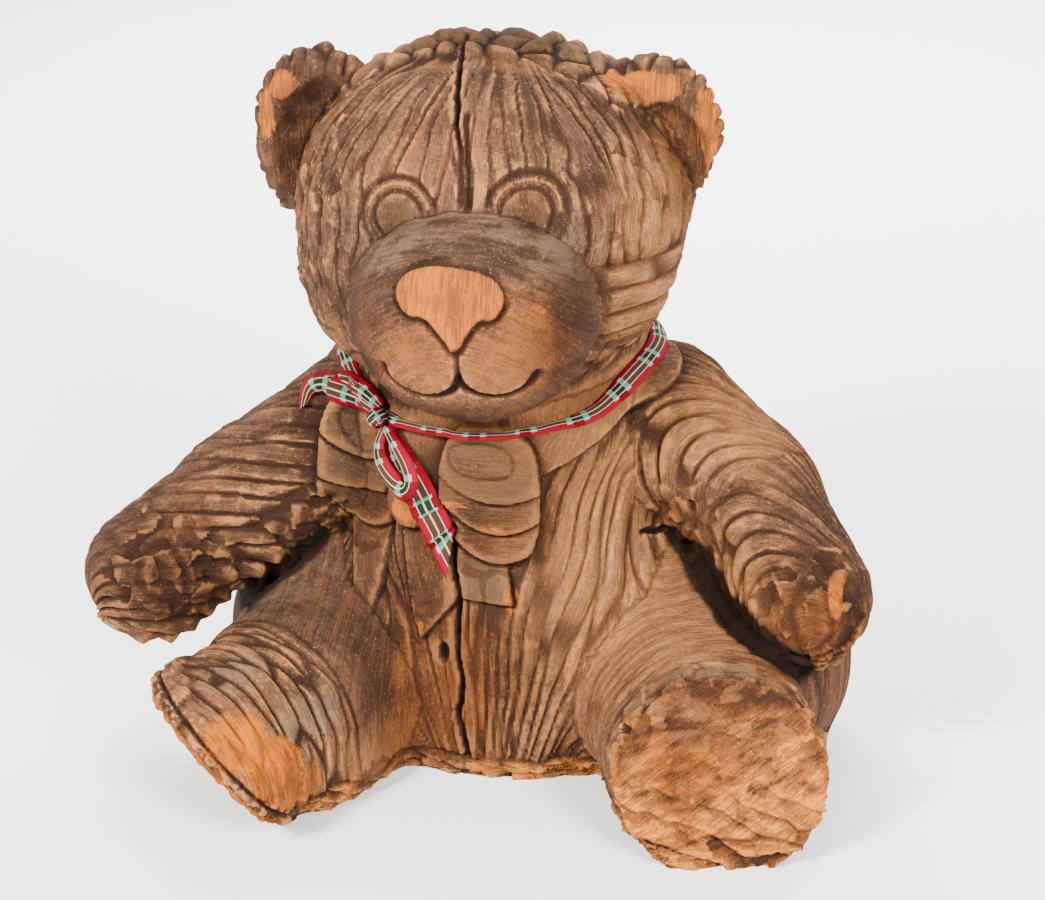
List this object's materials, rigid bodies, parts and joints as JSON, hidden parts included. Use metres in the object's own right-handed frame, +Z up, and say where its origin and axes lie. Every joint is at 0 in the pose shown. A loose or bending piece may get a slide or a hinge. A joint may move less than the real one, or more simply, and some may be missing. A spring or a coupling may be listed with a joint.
{
  "type": "carved wooden bear",
  "caption": "Seated teddy bear carved from one log with gouge-cut fur, cupped ears, a carved bow and flat sawn soles, and a tartan ribbon round its neck; it stands on its flat underside",
  "frame": {"origin": "centre of the bounding box in plan, at the level of the flat underside", "axes": "+X to the bear's left side, -Y forward out of its face, +Z up"},
  "size_m": [0.4052, 0.2608, 0.3813],
  "materials": {
    "carved_wood": "weathered brown, dry and matt, with worn orange-tan ridges",
    "tartan_ribbon": "woven tartan with a soft sheen"
  },
  "bodies": {
    "root": {"bear": "carved_wood", "ribbon": "tartan_ribbon"}
  },
  "joints": []
}
